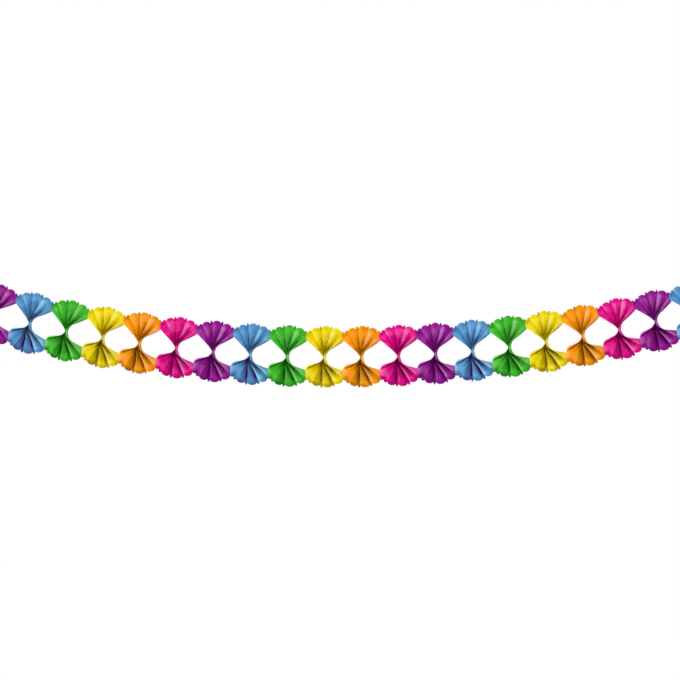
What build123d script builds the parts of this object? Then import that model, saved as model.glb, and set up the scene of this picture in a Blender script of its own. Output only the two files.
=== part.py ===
from build123d import *
import os
from dataclasses import dataclass
from math import asin, atan, cos, degrees, radians, sin, sqrt, tan

# A paper garland: bow-shaped units glued side by side into a hanging swag. Each unit is one strip
# of paper, pleated into a pack of panels, pinched at the waist and opened into two fans. X runs
# along the garland, Y from front to back and Z up. Lengths are millimetres, angles degrees.

# The swag
unit_count = 20
unit_pitch = 100
swag_radius = 4020
colours = ["purple", "blue", "green", "yellow", "orange", "pink"]

# The pleated strip of one unit
panel_count = 9
panel_width = 24.5
paper = 0.3
scallop_depth = 5.0
scallop_steps = 5

# The waist, where the layers of the pack are glued together
waist_depth = 20
waist_height = 10
layer_pitch = 0.3

# The neck, where the panels bend out of the waist: its share of the way to the rim, and how
# much of the straight fold's spread it has
neck_share = 0.18
neck_spread = 0.8

# The fans, measured from the middle of the waist
upper_cut_radius = 82
upper_corner_height = 43
upper_lean = 0
lower_cut_radius = 78
lower_corner_height = 28
lower_lean = 4

# Worked out from the sizes above, in radians
half_turn = atan(unit_pitch / 2 / swag_radius)


def land_x(z):
    """Half the width of a unit at height z, where its outermost panel meets the neighbour."""
    return (swag_radius - z) * tan(half_turn)


def fold_pair(index, x, z, depth, rise):
    """Front-side and back-side points of a fold. Even folds lie in front and odd ones behind."""
    outer = depth / 2
    inner = outer - rise
    if index % 2 == 0:
        return Vector(x, -outer, z), Vector(x, -inner, z)
    return Vector(x, inner, z), Vector(x, outer, z)


def skin(*corners):
    """One flat face through the corners, or two triangles where four corners are twisted."""
    if len(corners) == 4:
        normal = (corners[1] - corners[0]).cross(corners[2] - corners[0])
        if abs(normal.dot(corners[3] - corners[0])) > 1e-6 * normal.length:
            return [*skin(*corners[:3]), *skin(corners[0], *corners[2:])]
    return [Face(Wire.make_polygon(corners))]


def scallop(start, end, outward):
    """Points along the round die-cut end of a panel, from one fold to the next."""
    along = end - start
    half_chord = along.length / 2
    along = along.normalized()
    outward = (outward - along * outward.dot(along)).normalized()
    half_angle = 2 * atan(scallop_depth / half_chord)
    radius = half_chord / sin(half_angle)
    middle = (start + end) * 0.5 - outward * (radius * cos(half_angle))
    angles = [half_angle * (2 * step / scallop_steps - 1) for step in range(1, scallop_steps)]
    curve = [middle + along * (radius * sin(a)) + outward * (radius * cos(a)) for a in angles]
    return [start, *curve, end]


@dataclass
class Fan:
    """One fan of a unit, opened upward for side 1 and downward for side -1."""

    side: int
    cut_radius: float
    corner_height: float
    lean: float

    def __post_init__(self):
        self.notch_radius = self.cut_radius - scallop_depth
        widest = asin(swag_radius * sin(half_turn) / self.notch_radius) - self.side * half_turn
        gaps = panel_count - 2
        self.notch_spread = 2 * self.notch_radius * sin(widest / gaps)
        self.notch_depth = sqrt(panel_width**2 - self.notch_spread**2)
        even = [widest * (2 * fold / gaps - 1) for fold in range(gaps + 1)]
        self.angles = [a + radians(self.lean) * (1 - (a / widest) ** 2) for a in even]
        self.waist = self.waist_points()
        self.neck = self.neck_points()
        self.notch = self.notch_points()
        self.corner = self.corner_points()

    def rim(self):
        """X and Z of each fold's end at the rim. The free edges end beside their folds."""
        ends = [(self.notch_radius * sin(a), self.side * self.notch_radius * cos(a)) for a in self.angles]
        return [ends[0], *ends, ends[-1]]

    def waist_points(self):
        """Where the folds leave the glued waist, spread over its whole depth."""
        z = self.side * waist_height / 2
        middle = panel_count / 2
        return [
            fold_pair(fold, (fold - middle) * layer_pitch, z, waist_depth, waist_depth)
            for fold in range(panel_count + 1)
        ]

    def neck_points(self):
        """Where the panels have bent out of the waist. The free edges aim at their land's corner."""
        corner_z = self.side * self.corner_height
        corner_x = land_x(corner_z)
        aims = [(-corner_x, corner_z), *self.rim()[1:-1], (corner_x, corner_z)]
        depth = (waist_depth + panel_width) / 2
        rise = paper * panel_width / (neck_share * neck_spread * self.notch_spread)
        points = []
        for fold, (x, z) in enumerate(aims):
            start = self.waist[fold][0]
            neck_x = start.X + neck_share * neck_spread * (x - start.X)
            neck_z = start.Z + neck_share * (z - start.Z)
            points.append(fold_pair(fold, neck_x, neck_z, depth, rise))
        return points

    def notch_points(self):
        """Where the folds reach the rim. The outermost panels lie flat against the neighbours."""
        depth = self.notch_depth
        rise = paper * panel_width / self.notch_spread
        points = [fold_pair(fold, x, z, depth, rise) for fold, (x, z) in enumerate(self.rim())]
        thick = Vector(paper, 0, 0)
        slant = Vector(0, paper * (depth - rise) / self.notch_spread, 0)
        points[0] = (points[0][0] + thick, points[0][0])
        points[1] = (points[1][0] + thick - slant, points[1][1])
        points[-1] = (points[-1][1], points[-1][1] - thick)
        points[-2] = (points[-2][0], points[-2][1] - thick + slant)
        return points

    def corner_points(self):
        """Where each free edge meets the neighbour and turns along it."""
        z = self.side * self.corner_height
        thick = Vector(paper, 0, 0)
        left = Vector(-land_x(z), -self.notch_depth / 2, z)
        right = Vector(land_x(z), self.notch_depth / 2, z)
        return {0: (left + thick, left), panel_count: (right, right - thick)}

    def panel_faces(self, panel, face):
        """Faces of a panel's front side (face 0) or back side (face 1) below its scallop."""
        waist, waist_next = self.waist[panel][face], self.waist[panel + 1][face]
        neck, neck_next = self.neck[panel][face], self.neck[panel + 1][face]
        notch, notch_next = self.notch[panel][face], self.notch[panel + 1][face]
        faces = skin(waist, waist_next, neck_next, neck)
        if panel == 0:
            corner = self.corner[0][face]
            return faces + skin(neck, neck_next, corner) + skin(corner, neck_next, notch_next, notch)
        if panel == panel_count - 1:
            corner = self.corner[panel_count][face]
            return faces + skin(neck, neck_next, corner) + skin(corner, notch_next, notch, neck)
        return faces + skin(neck, neck_next, notch_next, notch)

    def scallop_points(self, panel, face):
        """The die-cut end of a panel. On the outermost panels it stays in the neighbour's plane."""
        start, end = self.notch[panel][face], self.notch[panel + 1][face]
        outward = start + end - self.neck[panel][face] - self.neck[panel + 1][face]
        if panel == 0:
            outward = Vector(self.side * tan(half_turn), 0, self.side)
        if panel == panel_count - 1:
            outward = Vector(-self.side * tan(half_turn), 0, self.side)
        return scallop(start, end, outward)

    def faces(self):
        """All the fan's faces above the waist: both sides, the scalloped rim and the free edges."""
        faces = []
        for panel in range(panel_count):
            front, back = self.scallop_points(panel, 0), self.scallop_points(panel, 1)
            faces += self.panel_faces(panel, 0) + skin(*front)
            faces += self.panel_faces(panel, 1) + skin(*back)
            for step in range(scallop_steps):
                faces += skin(front[step], front[step + 1], back[step + 1], back[step])
        for fold in (0, panel_count):
            edge = [self.waist[fold], self.neck[fold], self.corner[fold], self.notch[fold]]
            for low, high in zip(edge, edge[1:]):
                faces += skin(low[0], high[0], high[1], low[1])
        return faces


def pleated_unit():
    """One bow-shaped unit as a single solid, with its waist at the origin."""
    upper = Fan(1, upper_cut_radius, upper_corner_height, upper_lean)
    lower = Fan(-1, lower_cut_radius, lower_corner_height, lower_lean)
    faces = upper.faces() + lower.faces()
    for panel in range(panel_count):
        for face in (0, 1):
            low, low_next = lower.waist[panel][face], lower.waist[panel + 1][face]
            high, high_next = upper.waist[panel][face], upper.waist[panel + 1][face]
            faces += skin(low, low_next, high_next, high)
    for fold in (0, panel_count):
        faces += skin(*lower.waist[fold], *reversed(upper.waist[fold]))
    return Solid(Shell(faces))


def unit_place(number):
    """Place of a unit on the swag, counted from 0 at the left end."""
    turn = degrees(2 * half_turn) * (number - (unit_count - 1) / 2)
    return Pos(0, 0, swag_radius) * Rot(0, -turn, 0) * Pos(0, 0, -swag_radius)


unit = pleated_unit()
units = [unit_place(number) * unit for number in range(unit_count)]
middle = Compound(units).bounding_box().center()

os.makedirs("parts", exist_ok=True)
for number, placed in enumerate(units):
    name = f"fan_{number + 1:02d}_{colours[number % len(colours)]}"
    export_step(Pos(-middle) * placed, f"parts/{name}.step")
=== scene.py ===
"""A hanging garland of pleated tissue bows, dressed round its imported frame."""

import logging
from dataclasses import dataclass, field
from enum import Enum
from math import asin, atan, cos, radians, sin, tan

import bpy
import numpy as np
from mathutils import Matrix, Vector


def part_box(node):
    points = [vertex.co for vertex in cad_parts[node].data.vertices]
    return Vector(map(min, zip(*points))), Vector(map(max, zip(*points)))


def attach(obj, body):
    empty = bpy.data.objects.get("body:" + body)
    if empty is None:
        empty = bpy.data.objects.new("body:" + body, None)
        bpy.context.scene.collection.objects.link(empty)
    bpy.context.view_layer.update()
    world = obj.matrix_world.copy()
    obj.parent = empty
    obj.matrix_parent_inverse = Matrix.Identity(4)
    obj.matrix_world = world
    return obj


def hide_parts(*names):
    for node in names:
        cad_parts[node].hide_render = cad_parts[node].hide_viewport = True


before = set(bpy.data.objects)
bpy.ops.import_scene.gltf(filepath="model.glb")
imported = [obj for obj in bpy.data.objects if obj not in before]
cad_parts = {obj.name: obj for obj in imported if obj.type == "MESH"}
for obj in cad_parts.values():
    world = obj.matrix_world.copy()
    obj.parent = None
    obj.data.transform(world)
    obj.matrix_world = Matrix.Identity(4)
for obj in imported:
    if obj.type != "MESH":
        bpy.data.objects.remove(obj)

log = logging.getLogger("garland")

FULL_TURN = 6.283
NO_DIVISION_BY_ZERO = 1e-9
# point layer holding the painted shade and painted highlights of the folds
PAINTED_SHADE_LAYER = "painted_fold_shade"


@dataclass(frozen=True)
class Curve:
    """A line through given points, held level beyond its ends."""

    at: tuple[float, ...]
    value: tuple[float, ...]

    def __call__(self, place: np.ndarray) -> np.ndarray:
        """Value of the line at each place."""
        return np.interp(place, self.at, self.value)


def ramp(value: np.ndarray, start: float, end: float) -> np.ndarray:
    """Go from 0 at start to 1 at end, in a straight line.

    Args:
        value: the places.
        start: where the line leaves 0. It may lie above the end.
        end: where the line reaches 1.

    Returns:
        The line's height at each place, from 0 to 1.
    """
    return np.clip((value - start) / (end - start), 0, 1)


def ridge(
    value: np.ndarray, middle: np.ndarray | float, half_width: np.ndarray | float, top: float = 1.0
) -> np.ndarray:
    """Fall off on both sides of a middle.

    Args:
        value: the places.
        middle: where the ridge is highest.
        half_width: how far from the middle it has lost a height of 1.
        top: its height before all above 1 is cut off.

    Returns:
        The ridge's height at each place, from 0 to 1.
    """
    return np.clip(top - np.abs(value - middle) / half_width, 0, 1)


class TissueColour(Enum):
    """The dyes of the bows, in the order in which they repeat along the garland."""

    PURPLE = "purple"
    BLUE = "blue"
    GREEN = "green"
    YELLOW = "yellow"
    ORANGE = "orange"
    PINK = "pink"


@dataclass(frozen=True)
class DyeAndPaintedShade:
    """The tissue's body dye with a painted lit tone and a painted shaded tone, as sRGB values from 0
    to 255.
    """

    # painted highlight tone, for thin lit layers and glints
    light: tuple[int, int, int]
    # the dye itself
    body: tuple[int, int, int]
    # painted shade tone, for the deepest folds
    deep: tuple[int, int, int]

    def linear(self, shade: tuple[int, int, int]) -> tuple[float, float, float, float]:
        """Turn an sRGB shade into the linear colour that a shader takes.

        Args:
            shade: red, green and blue from 0 to 255.

        Returns:
            Linear red, green, blue and an alpha of 1.
        """
        parts = [value / 255 for value in shade]
        line = [((c + 0.055) / 1.055) ** 2.4 if c > 0.04045 else c / 12.92 for c in parts]
        return (line[0], line[1], line[2], 1.0)


# Each tissue's body dye with its painted lit and painted shaded tones.
DYES_AND_PAINTED_SHADES: dict[TissueColour, DyeAndPaintedShade] = {
    TissueColour.PURPLE: DyeAndPaintedShade(light=(216, 140, 212), body=(172, 32, 166), deep=(98, 0, 98)),
    TissueColour.BLUE: DyeAndPaintedShade(light=(178, 240, 250), body=(102, 170, 217), deep=(64, 8, 124)),
    TissueColour.GREEN: DyeAndPaintedShade(light=(164, 230, 140), body=(76, 202, 54), deep=(16, 104, 8)),
    TissueColour.YELLOW: DyeAndPaintedShade(light=(255, 246, 124), body=(244, 228, 0), deep=(142, 112, 0)),
    TissueColour.ORANGE: DyeAndPaintedShade(light=(255, 212, 128), body=(252, 176, 8), deep=(148, 72, 0)),
    TissueColour.PINK: DyeAndPaintedShade(light=(252, 150, 210), body=(238, 14, 162), deep=(154, 0, 92)),
}


@dataclass(frozen=True)
class TissueFinishAndPaintedShade:
    """Thin dyed tissue: crinkled, matt, lit through from behind, and coloured with painted shade and
    highlights.

    The painted shade runs from 0 for the painted lit tone to 1 for the painted deep shade, with the
    body dye between.
    The glow's colour is the tint with its gamma lowered, because light passes two skins.
    """

    colour: TissueColour
    body_shade: float = 0.4
    roughness: float = 0.72
    roughness_spread: float = 0.12
    gloss: float = 0.12
    see_through: float = 0.42
    glow_gamma: float = 0.5
    crinkle: float = 0.5
    crinkle_height: float = 0.001
    fibre_share: float = 0.3
    streak_scale: tuple[float, float, float] = (95, 5, 1)
    cloud_scale: float = 42.0
    fibre_scale: float = 700.0
    mottle_noise: tuple[float, float] = (0.7, 1.3)
    mottle_shade: tuple[float, float] = (-0.12, 0.2)

    def material(self) -> bpy.types.Material:
        """Build the tissue's shader from its flat UV map and its painted fold shade.

        Returns:
            The finished material.
        """
        mat = bpy.data.materials.new(f"{self.colour.value}_tissue")
        mat.use_nodes = True
        nodes, links = mat.node_tree.nodes, mat.node_tree.links
        nodes.clear()
        out = nodes.new("ShaderNodeOutputMaterial")
        cloth = nodes.new("ShaderNodeBsdfPrincipled")
        cloth.inputs["Specular IOR Level"].default_value = self.gloss
        glow = nodes.new("ShaderNodeBsdfTranslucent")
        both = nodes.new("ShaderNodeMixShader")
        both.inputs["Fac"].default_value = self.see_through
        links.new(cloth.outputs["BSDF"], both.inputs[1])
        links.new(glow.outputs["BSDF"], both.inputs[2])
        links.new(both.outputs["Shader"], out.inputs["Surface"])

        place = nodes.new("ShaderNodeTexCoord")
        streaks = nodes.new("ShaderNodeMapping")
        streaks.inputs["Scale"].default_value = self.streak_scale
        streak = self.noise(nodes, scale=1.0, detail=4.0)
        links.new(place.outputs["UV"], streaks.inputs["Vector"])
        links.new(streaks.outputs["Vector"], streak.inputs["Vector"])
        clouds = self.noise(nodes, scale=self.cloud_scale, detail=2.0)
        links.new(place.outputs["Object"], clouds.inputs["Vector"])
        fibres = self.noise(nodes, scale=self.fibre_scale, detail=4.0)
        links.new(place.outputs["Object"], fibres.inputs["Vector"])

        self.dye_and_painted_shade(mat.node_tree, streak, clouds, (cloth, glow))
        self.crumple(mat.node_tree, streak, fibres, (cloth, glow))
        rough = nodes.new("ShaderNodeMapRange")
        rough.inputs["To Min"].default_value = self.roughness - self.roughness_spread
        rough.inputs["To Max"].default_value = self.roughness + self.roughness_spread
        links.new(fibres.outputs["Fac"], rough.inputs["Value"])
        links.new(rough.outputs["Result"], cloth.inputs["Roughness"])
        return mat

    def dye_and_painted_shade(
        self,
        tree: bpy.types.NodeTree,
        streak: bpy.types.ShaderNode,
        clouds: bpy.types.ShaderNode,
        skins: tuple[bpy.types.ShaderNode, bpy.types.ShaderNode],
    ) -> None:
        """Colour the tissue by its painted fold shade and highlights, and by an uneven mottle.

        Args:
            tree: the material's node tree.
            streak: the texture of the fine streaks along the folds.
            clouds: the texture of the wide patches.
            skins: the shaders of the surface and of the light that comes through.
        """
        nodes, links = tree.nodes, tree.links
        mottle = nodes.new("ShaderNodeMath")
        mottle.operation = "ADD"
        links.new(streak.outputs["Fac"], mottle.inputs[0])
        links.new(clouds.outputs["Fac"], mottle.inputs[1])
        uneven = nodes.new("ShaderNodeMapRange")
        uneven.inputs["From Min"].default_value = self.mottle_noise[0]
        uneven.inputs["From Max"].default_value = self.mottle_noise[1]
        uneven.inputs["To Min"].default_value = self.mottle_shade[0]
        uneven.inputs["To Max"].default_value = self.mottle_shade[1]
        uneven.clamp = False
        links.new(mottle.outputs["Value"], uneven.inputs["Value"])
        fold = nodes.new("ShaderNodeAttribute")
        fold.attribute_name = PAINTED_SHADE_LAYER
        # random mottle plus the painted fold shade
        shade = nodes.new("ShaderNodeMath")
        shade.operation = "ADD"
        links.new(uneven.outputs["Result"], shade.inputs[0])
        links.new(fold.outputs["Fac"], shade.inputs[1])

        dye_and_painted_shade = DYES_AND_PAINTED_SHADES[self.colour]
        # ramp from the painted lit tone through the body dye to the painted shade tone
        tint = nodes.new("ShaderNodeValToRGB")
        stops = tint.color_ramp.elements
        stops[0].position, stops[0].color = 0.0, dye_and_painted_shade.linear(dye_and_painted_shade.light)
        stops[1].position, stops[1].color = 1.0, dye_and_painted_shade.linear(dye_and_painted_shade.deep)
        middle = stops.new(self.body_shade)
        middle.color = dye_and_painted_shade.linear(dye_and_painted_shade.body)
        links.new(shade.outputs["Value"], tint.inputs["Fac"])
        links.new(tint.outputs["Color"], skins[0].inputs["Base Color"])
        through = nodes.new("ShaderNodeGamma")
        through.inputs["Gamma"].default_value = self.glow_gamma
        links.new(tint.outputs["Color"], through.inputs["Color"])
        links.new(through.outputs["Color"], skins[1].inputs["Color"])

    def crumple(
        self,
        tree: bpy.types.NodeTree,
        streak: bpy.types.ShaderNode,
        fibres: bpy.types.ShaderNode,
        skins: tuple[bpy.types.ShaderNode, bpy.types.ShaderNode],
    ) -> None:
        """Give the tissue its fine crinkles and fibres.

        Args:
            tree: the material's node tree.
            streak: the texture of the fine streaks along the folds.
            fibres: the texture of the paper's fibres.
            skins: the shaders of the surface and of the light that comes through.
        """
        nodes, links = tree.nodes, tree.links
        relief = nodes.new("ShaderNodeMath")
        relief.operation = "MULTIPLY_ADD"
        relief.inputs[1].default_value = self.fibre_share
        links.new(fibres.outputs["Fac"], relief.inputs[0])
        links.new(streak.outputs["Fac"], relief.inputs[2])
        bump = nodes.new("ShaderNodeBump")
        bump.inputs["Strength"].default_value = self.crinkle
        bump.inputs["Distance"].default_value = self.crinkle_height
        links.new(relief.outputs["Value"], bump.inputs["Height"])
        for skin in skins:
            links.new(bump.outputs["Normal"], skin.inputs["Normal"])

    def noise(self, nodes: bpy.types.Nodes, scale: float, detail: float) -> bpy.types.ShaderNode:
        """Add a noise texture.

        Args:
            nodes: the material's nodes.
            scale: how many lumps a unit of its coordinates has.
            detail: how many finer layers it has.

        Returns:
            The texture's node.
        """
        texture = nodes.new("ShaderNodeTexNoise")
        texture.inputs["Scale"].default_value = scale
        texture.inputs["Detail"].default_value = detail
        return texture


@dataclass(frozen=True)
class Swag:
    """The hanging line of the bows' waists, a wide arc."""

    count: int = 20
    pitch: float = 0.100
    radius: float = 4.020

    @property
    def half_turn(self) -> float:
        """Half the turn from one bow to the next, in radians."""
        return atan(self.pitch / 2 / self.radius)

    def land_x(self, z: np.ndarray) -> np.ndarray:
        """Half the width that a bow has at height z, where it meets its neighbour."""
        return (self.radius - z) * tan(self.half_turn)

    def place(self, number: int, lift: float) -> Matrix:
        """Place of a bow, counted from 0 at the left.

        Args:
            number: the bow's place along the garland.
            lift: height of the arc's lowest point in the frame.

        Returns:
            The matrix from the bow's own frame to the garland's.
        """
        turn = 2 * self.half_turn * (number - (self.count - 1) / 2)
        up = Matrix.Translation((0, 0, self.radius + lift))
        return up @ Matrix.Rotation(-turn, 4, "Y") @ Matrix.Translation((0, 0, -self.radius))


@dataclass(frozen=True)
class Strip:
    """The flat sheet of tissue that one bow is folded from."""

    panels: int = 9
    panel_width: float = 0.0245
    length: float = 0.160
    scallop_depth: float = 0.0062
    thickness: float = 0.00012
    column_steps: tuple[float, ...] = (
        0.0, 0.04, 0.09, 0.16, 0.24, 0.33, 0.42, 0.5, 0.58, 0.67, 0.76, 0.84, 0.91, 0.96,
    )
    rows_per_fan: int = 34
    row_bias: float = 1.25

    @property
    def width(self) -> float:
        """Width of the flat sheet, across all its panels."""
        return self.panels * self.panel_width

    def columns(self) -> np.ndarray:
        """Places of the mesh columns, counted in panels from the left edge."""
        steps = [panel + step for panel in range(self.panels) for step in self.column_steps]
        return np.array([*steps, self.panels])

    def rows(self) -> np.ndarray:
        """Places of the mesh rows, from -1 at the lower rim to 1 at the upper one."""
        up = (np.arange(1, self.rows_per_fan + 1) / self.rows_per_fan) ** self.row_bias
        return np.concatenate([-up[::-1], [0.0], up])

    def scallop(self, across: np.ndarray) -> np.ndarray:
        """How far the die-cut end stands beyond the notches.

        Args:
            across: place across a panel, from 0 at one fold to 1 at the next.

        Returns:
            The height of the round end there, in metres.
        """
        half = self.panel_width / 2
        radius = (half**2 + self.scallop_depth**2) / (2 * self.scallop_depth)
        offset = (2 * across - 1) * half
        return np.sqrt(radius**2 - offset**2) - (radius - self.scallop_depth)


@dataclass(frozen=True)
class Fan:
    """One fan of a bow, opened upward for side 1 and downward for side -1.

    The routes are X and height above or below the waist. An edge's last height is
    that of the corner where it meets the neighbour, and the land gives its X.
    """

    side: int
    cut_radius: float
    turned: tuple[float, ...]
    gather_height: float
    gather_x: tuple[float, ...]
    left_edge: tuple[tuple[float, float], ...]
    right_edge: tuple[tuple[float, float], ...]
    left_corner: float
    right_corner: float
    strip: Strip
    swag: Swag
    runout: float = 1.15

    @property
    def notch_radius(self) -> float:
        """Distance from the waist's middle to the notches between the scallops."""
        return self.cut_radius - self.strip.scallop_depth

    def angles(self) -> np.ndarray:
        """Angles of the inner folds from the vertical, from left to right."""
        half_turn = self.swag.half_turn
        widest = asin(self.swag.radius * sin(half_turn) / self.notch_radius) - self.side * half_turn
        even = np.linspace(-widest, widest, self.strip.panels - 1)
        return even + np.radians(self.turned)

    def route(self, fold: int, hug: bool) -> tuple[np.ndarray, np.ndarray]:
        """Corners of a fold's route in the X-Z plane, from the waist past the rim.

        Args:
            fold: the fold, from 0 at the left free edge to the number of panels.
            hug: whether the route runs on along the neighbour beyond the rim.

        Returns:
            The corners' shares of the reach, and their X and Z as rows.
        """
        last = self.strip.panels
        angle = self.angles()[min(max(fold, 1), last - 1) - 1]
        if fold == 0:
            angle -= radians(self.turned[0])
            points = [*self.left_edge, (-self.land(self.left_corner), self.left_corner)]
        elif fold == last:
            points = [*self.right_edge, (self.land(self.right_corner), self.right_corner)]
        else:
            points = [(self.gather_x[fold - 1], self.gather_height)]
        points.append((self.notch_radius * sin(angle), self.notch_radius * cos(angle)))
        steps = np.hypot(*np.diff(np.array([(0.0, 0.0), *points]), axis=0).T)
        shares = [*(np.cumsum(steps) / steps.sum()), self.runout]
        rim, before = Vector(points[-1]), Vector(points[-2])
        onward = Vector((0, 1)) if hug else (rim - before).normalized()
        points.append(tuple(rim + onward * (self.runout - 1) * self.notch_radius))
        places = np.array(points)
        places[:, 1] *= self.side
        return np.array(shares), places

    def land(self, height: float) -> float:
        """X of the land where the bow meets its neighbour, at a height from the waist."""
        return float(self.swag.land_x(self.side * height))


class Face(Enum):
    """The sheet's faces. The odd folds are the front's valleys, the even ones the back's."""

    FRONT = 1
    BACK = 0


@dataclass(frozen=True)
class Spots:
    """Points of the folded sheet, by their place on the flat strip."""

    column: np.ndarray
    reach: np.ndarray
    panels: int
    change_rate: float = 8.0
    pinch: float = 0.6
    upper_opening: float = 9.0
    lower_opening: float = 20.0

    @property
    def panel(self) -> np.ndarray:
        """The panel that each point lies in, from 0 at the left."""
        return np.minimum(self.column.astype(int), self.panels - 1)

    @property
    def away(self) -> np.ndarray:
        """Share of the way from the waist to the rim."""
        return np.abs(self.reach)

    @property
    def lower(self) -> np.ndarray:
        """1 in the lower fan and 0 in the upper one, with a short change at the waist."""
        return np.clip(0.5 - self.reach * self.change_rate, 0, 1)

    @property
    def opened(self) -> np.ndarray:
        """0 in the pinch and 1 where the fan has opened, sooner in the lower fan."""
        rate = self.upper_opening + (self.lower_opening - self.upper_opening) * self.lower
        return np.clip(self.away * rate - self.pinch, 0, 1)


@dataclass(frozen=True)
class Crease:
    """The crease across the lower fan's first panel, which runs out at the neighbour."""

    column: float = 0.42
    least_share: float = 0.02
    end: float = 0.78
    runout: float = 0.25
    depth: float = 0.0024
    half_width: float = 0.36
    along: Curve = Curve((0.1, 0.35, 7 / 15, 0.8), (0.0, 1.0, 1.0, 0.0))

    def middle(self, away: np.ndarray) -> np.ndarray:
        """The crease's column.

        Args:
            away: share of the way from the waist to the rim.

        Returns:
            Its place across the strip, counted in panels.
        """
        return self.column * np.clip((self.end - away) / self.runout, self.least_share, 1)

    def pressed(self, column: np.ndarray, away: np.ndarray) -> np.ndarray:
        """How far the paper is pressed in along the crease.

        Args:
            column: place across the strip, counted in panels.
            away: share of the way from the waist to the rim.

        Returns:
            The depth at each point.
        """
        return self.depth * ridge(column, self.middle(away), self.half_width) * self.along(away)


@dataclass(frozen=True)
class PaintedFoldShade:
    """Painted shade and painted highlights: from 0 for a thin lit layer to 1 for the deepest fold.

    A curve runs over the share of the way from the waist to the rim. A tuple has a value for
    each panel or each inner fold, from left to right. Columns are counted in panels.
    """

    panels: int
    crease: Crease

    # painted shade of the panels, palest in the pinch
    upper_body: Curve = Curve((0.04, 0.1, 0.3, 0.6, 1.0), (0.12, 0.46, 0.52, 0.37, 0.29))
    lower_body: Curve = Curve((0.04, 0.09, 0.25, 1.0), (0.12, 0.4, 0.48, 0.35))
    lower_panels: tuple[float, ...] = (-0.04, -0.08, 0.14, -0.04, 0.0, -0.04, -0.1, -0.04, -0.14)

    # painted shade in the pleats' valleys
    pleat_depth: float = 0.56
    upper_pleat: Curve = Curve((0.1, 0.3, 0.55, 0.78, 0.9), (1.2, 1.25, 0.8, 0.06, 0.0))
    lower_pleat: Curve = Curve((0.1, 0.3, 0.8, 0.93, 1.0), (2.1, 1.9, 1.1, 0.4, 0.1))
    upper_folds: tuple[float, ...] = (0.1, 0.5, 1.4, 0.7, 1.3, 0.6, 0.5, 0.4)
    lower_folds: tuple[float, ...] = (0.9, 1.0, 1.5, 1.0, 1.45, 1.0, 1.0, 1.0)
    lower_ends: tuple[float, ...] = (0.55, 1.0, 1.3, 1.0, 1.3, 1.0, 0.68, 1.0)
    lower_fade: float = 0.25
    upper_before: Curve = Curve((0.2, 0.6), (0.44, 0.14))
    lower_before: Curve = Curve((0.2, 0.6), (0.56, 0.3))
    upper_fall: Curve = Curve((0.15, 0.5), (1.2, 2.4))
    fold_top: float = 1.3
    fold_end: float = 1.02

    # darker cut ends, with painted shade on the front face's tips
    rim_start: float = 0.9
    rim_depth: float = 0.14
    lower_rim_depth: float = 0.14
    dark_tips: tuple[float, ...] = (0.0, 0.05, 0.0, 0.16, 0.0, 0.14, 0.0, 0.05, 0.0)

    # painted shade under the pinch
    apex_depth: float = 0.6
    apex: Curve = Curve((0.04, 0.1, 0.2, 0.38), (0.0, 1.0, 0.7, 0.0))
    apex_across: Curve = Curve((0.4, 1.4, 7.467, 7.8), (0.0, 1.0, 1.0, 0.0))

    # painted shade along the crease, painted light above it and on the corner beyond
    crease_depth: float = 0.95
    crease_half_width: float = 0.2
    crease_along: Curve = Curve((0.1, 0.25, 0.66, 0.78), (0.0, 1.0, 0.7, 0.0))
    above_crease: float = 0.45
    painted_light_corner: float = 0.24
    painted_light_corner_along: Curve = Curve((0.62, 0.82), (0.0, 1.0))
    painted_light_corner_end: float = 1.1

    # painted shade along the right free edge
    edge_width: float = 0.32
    edge_softness: float = 0.2
    edge: Curve = Curve((-0.35, -0.2, 0.1, 0.25, 0.6, 0.8), (0.0, 0.15, 0.3, 0.7, 0.6, 0.0))

    # painted shadow under the last panel
    under_depth: float = 0.7
    under_column: float = 7.7
    under_half_width: float = 0.3
    under: Curve = Curve((0.06, 0.14, 0.5, 0.68), (0.0, 1.0, 1.0, 0.0))

    # painted highlights along the front folds
    lit_folds: tuple[tuple[int, float], ...] = ((2, 0.05), (4, 0.1), (6, 0.5), (8, 0.22))
    lit: Curve = Curve((0.3, 0.55, 0.85, 1.0), (0.0, 1.0, 0.9, 0.2))
    lit_width: float = 0.14
    lit_offset: float = 0.8
    line_top: float = 1.2

    def at(self, spots: Spots, face: Face) -> np.ndarray:
        """Painted shade and highlights on a face of the sheet.

        Args:
            spots: the points.
            face: the face they are seen on.

        Returns:
            The painted shade at each point.
        """
        shade = self.body(spots) + self.pleats(spots, face) + self.rims(spots, face)
        shade += self.apexes(spots) + self.creased(spots) + self.right_edge(spots)
        if face is Face.FRONT:
            shade += self.shadow(spots) - self.glints(spots)
        return shade

    def body(self, spots: Spots) -> np.ndarray:
        """Painted shade of the panels, palest in the pinch, and set per panel in the lower fan."""
        away, lower = spots.away, spots.lower
        shade = lower * self.lower_body(away) + (1 - lower) * self.upper_body(away)
        return shade + lower * spots.opened * np.array(self.lower_panels)[spots.panel]

    def pleats(self, spots: Spots, face: Face) -> np.ndarray:
        """Painted shade in the valleys between the panels, darkest at the fold.

        Args:
            spots: the points.
            face: the face they are seen on.

        Returns:
            The painted shade that the pleats add at each point.
        """
        away, lower = spots.away, spots.lower
        upper = 1 - lower
        before_width = lower * self.lower_before(away) + upper * self.upper_before(away)
        fall = lower + upper * self.upper_fall(away)
        depth = np.zeros(len(away))
        for fold in range(2 - face.value, self.panels, 2):
            past = spots.column - fold
            before = np.clip(1 + past / before_width, 0, 1)
            near = np.where(past > 0, np.clip(self.fold_top - past * fall, 0, 1), before)
            near *= past < self.fold_end
            fade = np.clip((self.lower_ends[fold - 1] - away) / self.lower_fade, 0, 1)
            weight = lower * fade * self.lower_folds[fold - 1] + upper * self.upper_folds[fold - 1]
            depth = np.maximum(depth, near * weight)
        deepest = lower * self.lower_pleat(away) + upper * self.upper_pleat(away)
        return self.pleat_depth * depth * deepest * spots.opened

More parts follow.
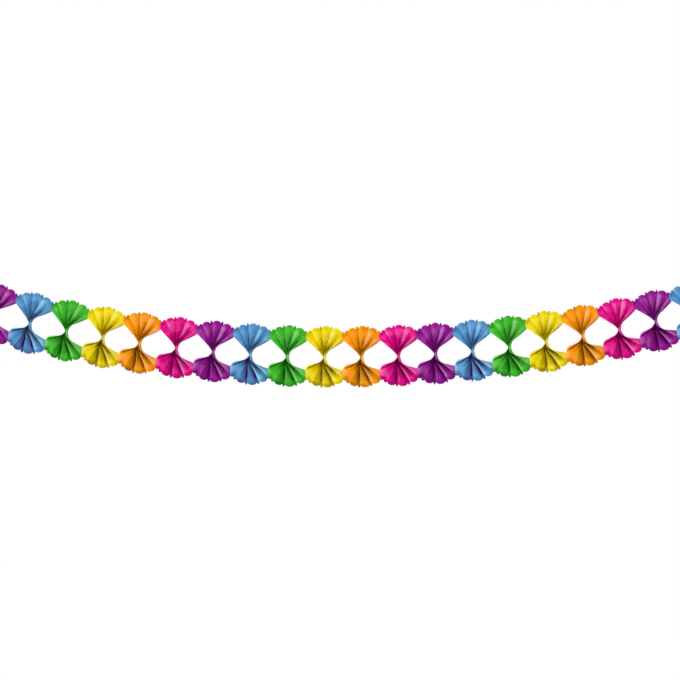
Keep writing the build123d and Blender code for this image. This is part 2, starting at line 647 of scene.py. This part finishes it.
    def rims(self, spots: Spots, face: Face) -> np.ndarray:
        """Darker at the cut ends, with painted shade on the tips beside the front face's valleys."""
        tips = face.value * np.array(self.dark_tips)[spots.panel]
        depth = self.rim_depth + self.lower_rim_depth * spots.lower + tips
        return depth * ramp(spots.away, self.rim_start, 1.0)

    def apexes(self, spots: Spots) -> np.ndarray:
        """Painted shade where the lower fan's folds gather under the pinch."""
        gathered = self.apex(spots.away) * self.apex_across(spots.column)
        return self.apex_depth * spots.lower * gathered

    def creased(self, spots: Spots) -> np.ndarray:
        """Painted shade along the lower fan's crease, with painted light above and beyond it."""
        column, away = spots.column, spots.away
        middle = self.crease.middle(away)
        line = ridge(column, middle, self.crease_half_width) * self.crease_along(away)
        above = spots.opened * np.clip(self.line_top - column / middle, 0, 1)
        corner = self.painted_light_corner_along(away) * np.clip(self.painted_light_corner_end - column, 0, 1)
        shade = self.crease_depth * line - self.above_crease * above - self.painted_light_corner * corner
        return shade * spots.lower

    def right_edge(self, spots: Spots) -> np.ndarray:
        """Painted shade along the right free edge, from the neck into the upper fan."""
        start = self.panels - self.edge_width
        return ramp(spots.column, start, start + self.edge_softness) * self.edge(spots.reach)

    def shadow(self, spots: Spots) -> np.ndarray:
        """Painted shadow below the last panel that sweeps down from the neck."""
        line = ridge(spots.column, self.under_column, self.under_half_width, self.line_top)
        return self.under_depth * line * spots.lower * self.under(spots.away)

    def glints(self, spots: Spots) -> np.ndarray:
        """Painted highlights along the front folds, wider in the upper fan."""
        spread = self.lit_width * (2 - spots.lower)
        lit = np.zeros(len(spread))
        for fold, strength in self.lit_folds:
            middle = fold + self.lit_offset * spread
            lit += strength * ridge(spots.column, middle, spread, self.line_top)
        return lit * self.lit(spots.away)


@dataclass
class PleatedBow:
    """One bow: a strip of tissue pleated, pinched at the waist and opened into two fans.

    A curve runs over the share of the way from the waist to the rim.
    """

    number: int
    colour: TissueColour
    strip: Strip
    swag: Swag
    upper: Fan
    lower: Fan
    # painted shade and highlights of the sheet's two faces
    shade: PaintedFoldShade
    layer_pitch: float = 0.00026
    depth: Curve = Curve((0.07, 0.4, 1.0), (0.0175, 0.0222, 0.0205))
    softness: Curve = Curve((0.0, 1.0), (0.08, 0.15))
    bend_share: tuple[float, float, float] = (0.018, 0.07, 0.1)
    bend_samples: int = 9
    neck_shift: float = 0.0028
    neck_shift_end: float = 0.6
    pulled_open: float = 0.7
    pulled_start: float = 0.12
    pulled_over: float = 0.25
    pulled_end: float = 2.0
    bow_out: float = 0.0012
    bow_turn: float = 0.8
    ripple: float = 0.00035
    ripple_count: int = 9
    ripple_turns: tuple[float, float] = (1.2, 4.4)
    ripple_drift: float = 0.9
    ripple_phase: float = 6.3
    ripple_size: tuple[float, float] = (0.3, 1.0)
    ripple_rise: float = 3.0
    ripple_least: float = 0.1
    first_seed: int = 41
    glue_gap: float = 0.0001
    room_share: float = 0.3
    smooth_angle: float = 50.0
    name: str = field(init=False)

    def __post_init__(self) -> None:
        """Name the bow after the node it stands for."""
        self.name = f"bow_{self.number + 1:02d}_{self.colour.value}"

    @property
    def node(self) -> str:
        """The frame's node that this bow stands for."""
        return f"fan_{self.number + 1:02d}_{self.colour.value}"

    def fold_points(self, fold: int, reach: np.ndarray, hug: bool) -> np.ndarray:
        """Points of a fold through both fans, with its bends eased.

        Args:
            fold: the fold's number.
            reach: share of the way from the waist to the notch, below 0 in the lower fan.
            hug: whether the fold runs on along the neighbour beyond the rim.

        Returns:
            X and Z of each point, as rows.
        """
        up_shares, up_places = self.upper.route(fold, hug)
        down_shares, down_places = self.lower.route(fold, hug)
        waist = ((fold - self.strip.panels / 2) * self.layer_pitch, 0.0)
        shares = np.concatenate([-down_shares[::-1], [0.0], up_shares])
        places = np.concatenate([down_places[::-1], [waist], up_places])
        left, inner, right = self.bend_share
        bend = left if fold == 0 else right if fold == self.strip.panels else inner
        total = np.zeros((len(reach), 2))
        for offset in np.linspace(-bend, bend, self.bend_samples):
            total[:, 0] += np.interp(reach + offset, shares, places[:, 0])
            total[:, 1] += np.interp(reach + offset, shares, places[:, 1])
        total /= self.bend_samples
        total[:, 0] -= self.neck_shift * ridge(reach, 0.0, self.neck_shift_end)
        return total

    def zigzag(self, column: np.ndarray, softness: np.ndarray) -> np.ndarray:
        """Depth of the pleats, from -1 at a front fold to 1 at a back one.

        Args:
            column: place across the strip, counted in panels.
            softness: half the width of a fold's round, as a share of a panel.

        Returns:
            The eased zigzag, straight at the strip's two free edges.
        """
        nearest = np.clip(np.rint(column), 1, self.strip.panels - 1)
        offset = np.abs(column - nearest)
        peak = np.where(nearest % 2 == 0, -1.0, 1.0)
        eased = 1 - softness - offset**2 / softness
        return peak * np.where(offset < softness, eased, 1 - 2 * offset)

    def folded(
        self, column: np.ndarray, row: np.ndarray
    ) -> tuple[np.ndarray, np.ndarray, np.ndarray]:
        """Fold points of the flat strip into the bow.

        Args:
            column: place across the strip, counted in panels.
            row: place along the strip, from -1 to 1.

        Returns:
            The points in the bow's own frame, their reach from the waist, and the gap from each
            point to the nearer of the panels beside its own, seen from the front.
        """
        panels = self.strip.panels
        panel = np.minimum(column.astype(int), panels - 1)
        across = column - panel
        rim = np.where(row > 0, self.upper.notch_radius, self.lower.notch_radius)
        reach = row * (1 + self.strip.scallop(across) / rim)
        points = np.zeros((len(column), 3))
        gap = np.full(len(column), np.inf)
        for number in range(panels):
            mine = panel == number
            hug = number in (0, panels - 1)
            left = self.fold_points(number, reach[mine], hug)
            right = self.fold_points(number + 1, reach[mine], hug)
            share = across[mine, None]
            points[mine, 0], points[mine, 2] = (left * (1 - share) + right * share).T
            if number > 0:
                before = self.fold_points(number - 1, reach[mine], number == 1)
                gap[mine] = np.hypot(*(right - before).T) * across[mine]
            if number < panels - 1:
                after = self.fold_points(number + 2, reach[mine], number == panels - 2)
                behind = np.hypot(*(after - left).T) * (1 - across[mine])
                gap[mine] = np.minimum(gap[mine], behind)
        away = np.abs(reach)
        wave = self.zigzag(column, self.softness(away))
        pulled = np.clip((reach - self.pulled_start) / self.pulled_over, 0, 1)
        pulled *= self.pulled_open * np.clip(self.pulled_end - column, 0, 1)
        points[:, 1] = (wave - (wave + 1) * pulled / 2) * self.depth(away) / 2
        return points, reach, gap

    def relief(self, column: np.ndarray, reach: np.ndarray, gap: np.ndarray) -> np.ndarray:
        """Creases and bulges of handled tissue, out of the panel's plane.

        Args:
            column: place across the strip, counted in panels.
            reach: share of the way from the waist to the rim, below 0 in the lower fan.
            gap: how far each point is from the panels beside its own.

        Returns:
            How far each point moves along its normal, less than its share of the gap.
        """
        chance = np.random.default_rng(self.number + self.first_seed)
        panel = np.minimum(column.astype(int), self.strip.panels - 1)
        across = column - panel
        away = np.clip(np.abs(reach), 0, 1)
        half = (reach > 0).astype(int)
        crown = chance.uniform(-1, 1, (self.strip.panels, 2))[panel, half]
        move = self.bow_out * crown * np.sin(np.pi * across) * np.sin(np.pi * away * self.bow_turn)
        for _ in range(self.ripple_count):
            turns = chance.uniform(*self.ripple_turns)
            drift = chance.uniform(-self.ripple_drift, self.ripple_drift)
            size = self.ripple * chance.uniform(*self.ripple_size)
            phase = chance.uniform(0, self.ripple_phase)
            move += size * np.sin(FULL_TURN * (turns * column + drift * reach) + phase)
        held = np.clip(np.minimum(column, self.strip.panels - column), 0, 1)
        move *= held * np.clip(away * self.ripple_rise, self.ripple_least, 1)
        room = self.room_share * np.clip(gap - self.strip.thickness, 0, None)
        move *= room / (room + np.abs(move) + NO_DIVISION_BY_ZERO)
        return move - self.shade.crease.pressed(column, away) * (reach < 0)

    def build(self, lift: float) -> bpy.types.Object:
        """Fold the flat strip into the bow and hang it on the swag.

        Args:
            lift: height of the swag's lowest point in the frame.

        Returns:
            The finished piece.
        """
        columns, rows = self.strip.columns(), self.strip.rows()
        bpy.ops.object.select_all(action="DESELECT")
        bpy.ops.mesh.primitive_grid_add(
            x_subdivisions=len(columns) - 1, y_subdivisions=len(rows) - 1, size=2
        )
        piece = bpy.context.object
        piece.name = piece.data.name = self.name
        mesh = piece.data
        flat = np.zeros(len(mesh.vertices) * 3)
        mesh.vertices.foreach_get("co", flat)
        flat = flat.reshape(-1, 3)
        column = columns[np.rint((flat[:, 0] + 1) / 2 * (len(columns) - 1)).astype(int)]
        row = rows[np.rint((flat[:, 1] + 1) / 2 * (len(rows) - 1)).astype(int)]
        self.lay_flat_map(mesh, column, row)

        points, reach, gap = self.folded(column, row)
        mesh.vertices.foreach_set("co", points.ravel())
        mesh.update()
        normals = np.zeros(len(mesh.vertices) * 3)
        mesh.vertices.foreach_get("normal", normals)
        points += normals.reshape(-1, 3) * self.relief(column, reach, gap)[:, None]
        edge = self.swag.land_x(points[:, 2]) - self.glue_gap
        points[:, 0] = np.clip(points[:, 0], -edge, edge)
        mesh.vertices.foreach_set("co", points.ravel())
        mesh.update()
        self.thicken(piece)
        self.store_painted_shade(mesh, column, reach)
        mesh.transform(self.swag.place(self.number, lift))
        mesh.update()
        return piece

    def lay_flat_map(self, mesh: bpy.types.Mesh, column: np.ndarray, row: np.ndarray) -> None:
        """Write the flat strip's own coordinates into the UV map.

        Args:
            mesh: the strip's mesh.
            column: each vertex's place across the strip, counted in panels.
            row: each vertex's place along the strip, from -1 to 1.
        """
        corner = np.zeros(len(mesh.loops), dtype=int)
        mesh.loops.foreach_get("vertex_index", corner)
        flat = np.column_stack([column[corner] / self.strip.panels, (row[corner] + 1) / 2])
        mesh.uv_layers[0].data.foreach_set("uv", flat.ravel())

    def thicken(self, piece: bpy.types.Object) -> None:
        """Give the sheet its thickness and a soft paper shading.

        Args:
            piece: the folded sheet.
        """
        wall = piece.modifiers.new("paper", "SOLIDIFY")
        wall.thickness = self.strip.thickness
        wall.offset = 0
        bpy.ops.object.modifier_apply(modifier=wall.name)
        bpy.ops.object.shade_smooth_by_angle(angle=radians(self.smooth_angle))

    def store_painted_shade(self, mesh: bpy.types.Mesh, column: np.ndarray, reach: np.ndarray) -> None:
        """Keep each side's painted fold shade on the mesh, the front side's and then the back's.

        Args:
            mesh: the thickened mesh, with the sheet's two sides one after the other.
            column: each flat point's place across the strip, counted in panels.
            reach: each flat point's reach from the waist.
        """
        places = np.zeros(len(mesh.vertices) * 3)
        mesh.vertices.foreach_get("co", places)
        normals = np.zeros(len(mesh.vertices) * 3)
        mesh.vertices.foreach_get("normal", normals)
        count = len(column)
        gap = (places.reshape(-1, 3)[:count] - places.reshape(-1, 3)[count:])[:, 1]
        spots = Spots(column, reach, self.strip.panels)
        sides = [self.shade.at(spots, face) for face in (Face.FRONT, Face.BACK)]
        if gap.sum() > 0:
            sides.reverse()
        layer = mesh.attributes.new(PAINTED_SHADE_LAYER, "FLOAT", "POINT")
        layer.data.foreach_set("value", np.concatenate(sides))

    def dress(self, piece: bpy.types.Object, tissue: bpy.types.Material) -> None:
        """Give the piece its tissue and tie it to the frame.

        Args:
            piece: the finished bow.
            tissue: its material.
        """
        piece.data.materials.clear()
        piece.data.materials.append(tissue)
        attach(piece, "root")
        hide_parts(self.node)


@dataclass
class Garland:
    """The whole garland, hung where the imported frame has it."""

    swag: Swag = Swag()
    strip: Strip = Strip()
    lowest_rim: float = 0.07692

    def fans(self) -> tuple[Fan, Fan]:
        """The upper and the lower fan that every bow has."""
        upper = Fan(
            side=1,
            cut_radius=0.082,
            turned=(2.0, 1.9, 2.0, 0.3, 0.8, -1.3, 0.6, 0.0),
            gather_height=0.0095,
            gather_x=(-0.0022, -0.0018, -0.0014, -0.0010, -0.0006, -0.0002, 0.0004, 0.0010),
            left_edge=((-0.0014, 0.0026), (-0.0120, 0.0148)),
            right_edge=((0.0014, 0.0050), (0.0028, 0.0130), (0.0080, 0.0185), (0.0210, 0.0262)),
            left_corner=0.0455,
            right_corner=0.0445,
            strip=self.strip,
            swag=self.swag,
        )
        lower = Fan(
            side=-1,
            cut_radius=0.078,
            turned=(3.4, 4.8, 6.1, 3.8, 6.9, 4.1, 5.6, 0.0),
            gather_height=0.0120,
            gather_x=(-0.0052, -0.0048, -0.0044, -0.0040, -0.0036, -0.0032, -0.0026, 0.0004),
            left_edge=(
                (-0.0018, 0.0026),
                (-0.0115, 0.0118),
                (-0.0207, 0.0148),
                (-0.0395, 0.0182),
                (-0.0462, 0.0225),
            ),
            right_edge=((0.0016, 0.0050), (0.0036, 0.0130), (0.0078, 0.0205), (0.0270, 0.0278)),
            left_corner=0.0300,
            right_corner=0.0335,
            strip=self.strip,
            swag=self.swag,
        )
        return upper, lower

    def lift(self) -> float:
        """Height of the swag's lowest point: one bow's lower rim reaches the frame's lowest point."""
        lowest = min(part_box(node)[0].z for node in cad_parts)
        return lowest + self.lowest_rim

    def build(self) -> list[bpy.types.Object]:
        """Build and dress all the bows.

        Returns:
            The bows, from left to right.
        """
        upper, lower = self.fans()
        lift = self.lift()
        # painted shade and highlights shared by all the bows
        shade = PaintedFoldShade(self.strip.panels, Crease())
        tissues = {colour: TissueFinishAndPaintedShade(colour).material() for colour in TissueColour}
        order = list(TissueColour)
        bows = []
        for number in range(self.swag.count):
            colour = order[number % len(order)]
            bow = PleatedBow(number, colour, self.strip, self.swag, upper, lower, shade)
            piece = bow.build(lift)
            bow.dress(piece, tissues[colour])
            log.info("%s: %d faces", piece.name, len(piece.data.polygons))
            bows.append(piece)
        return bows


@dataclass
class Studio:
    """Plain pale floor, soft light and the camera of the photograph."""

    azimuth: float = 18.0
    elevation: float = -0.65
    metres_per_pixel: float = 0.002564
    picture: int = 680
    waist_pixel: tuple[float, float] = (344.0, 357.7)
    camera_distance: float = 6.0
    view_depth: float = 60.0
    floor_size: float = 60.0
    floor_drop: float = 1.3
    floor_shade: float = 0.93
    floor_roughness: float = 0.9
    sky_strength: float = 1.0
    sun_strength: float = 0.9
    sun_angle: float = 25.0
    sun_place: tuple[float, float, float] = (2, -2, 3)
    sun_direction: tuple[float, float, float] = (-0.35, 0.65, -0.67)

    def build(self, waist: Vector) -> None:
        """Set up the floor, the lights and the camera.

        Args:
            waist: the swag's lowest point.
        """
        self.floor()
        self.lights()
        self.camera(waist)

    def floor(self) -> None:
        """Lay a wide pale floor well below the garland."""
        place = (0, 0, -self.floor_drop)
        bpy.ops.mesh.primitive_plane_add(size=self.floor_size, location=place)
        floor = bpy.context.object
        floor.name = "floor"
        mat = bpy.data.materials.new("pale_floor")
        mat.use_nodes = True
        shader = mat.node_tree.nodes["Principled BSDF"]
        shader.inputs["Base Color"].default_value = (*[self.floor_shade] * 3, 1)
        shader.inputs["Roughness"].default_value = self.floor_roughness
        floor.data.materials.append(mat)

    def lights(self) -> None:
        """Light the garland from the upper right, with an even white surround."""
        world = bpy.data.worlds.new("studio")
        bpy.context.scene.world = world
        world.use_nodes = True
        sky = world.node_tree.nodes["Background"]
        sky.inputs["Color"].default_value = (1, 1, 1, 1)
        sky.inputs["Strength"].default_value = self.sky_strength
        bpy.ops.object.light_add(type="SUN", location=self.sun_place)
        key = bpy.context.object
        key.name = "key_light"
        key.data.energy = self.sun_strength
        key.data.angle = radians(self.sun_angle)
        key.rotation_mode = "QUATERNION"
        key.rotation_quaternion = Vector(self.sun_direction).to_track_quat("-Z", "Y")

    def camera(self, waist: Vector) -> None:
        """Place the camera at the photograph's angle, a little below the swag.

        Args:
            waist: the swag's lowest point, which the photograph shows at waist_pixel.
        """
        a, e = radians(self.azimuth), radians(self.elevation)
        back = Vector((sin(a) * cos(e), -cos(a) * cos(e), sin(e)))
        turn = back.to_track_quat("Z", "Y").to_matrix()
        right, up = turn.col[0], turn.col[1]
        half = self.picture / 2
        aside = (half - self.waist_pixel[0]) * self.metres_per_pixel
        above = (self.waist_pixel[1] - half) * self.metres_per_pixel
        target = waist + right * aside + up * above
        bpy.ops.object.camera_add(location=target + back * self.camera_distance)
        camera = bpy.context.object
        camera.name = "camera"
        camera.rotation_mode = "QUATERNION"
        camera.rotation_quaternion = turn.to_quaternion()
        camera.data.type = "ORTHO"
        camera.data.ortho_scale = self.picture * self.metres_per_pixel
        camera.data.clip_end = self.view_depth
        bpy.context.scene.camera = camera
        bpy.context.scene.view_settings.view_transform = "Standard"


def main() -> None:
    """Build the garland and its studio."""
    logging.basicConfig(level=logging.INFO, format="%(message)s")
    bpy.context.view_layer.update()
    garland = Garland()
    garland.build()
    Studio().build(Vector((0, 0, garland.lift())))


if __name__ == "__main__":
    main()
